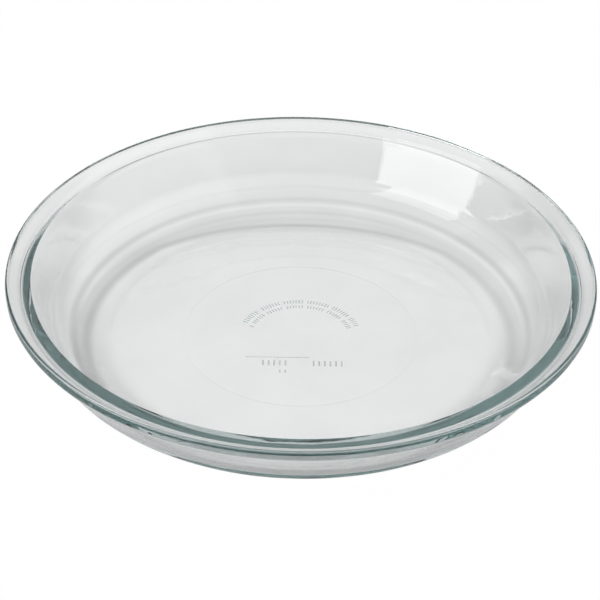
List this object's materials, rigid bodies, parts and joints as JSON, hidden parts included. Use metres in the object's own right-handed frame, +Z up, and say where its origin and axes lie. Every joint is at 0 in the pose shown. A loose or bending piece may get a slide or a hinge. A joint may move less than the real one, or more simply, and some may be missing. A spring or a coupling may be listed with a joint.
{
  "type": "pie dish",
  "caption": "Round clear pressed-glass pie dish with flared wall, sloping heel, flat standing ring and a rounded flange rim.",
  "frame": {"origin": "centre of the underside, on the surface that the dish stands on", "axes": "+Z up along the dish's axis of revolution; +X and +Y are free, because the dish is round"},
  "size_m": [0.25, 0.25, 0.0392],
  "materials": {
    "clear_glass": "fire-polished pressed soda-lime glass, clear with a faint blue-green cast that deepens in the rim"
  },
  "bodies": {
    "root": {"glass_dish": "clear_glass"}
  },
  "joints": []
}
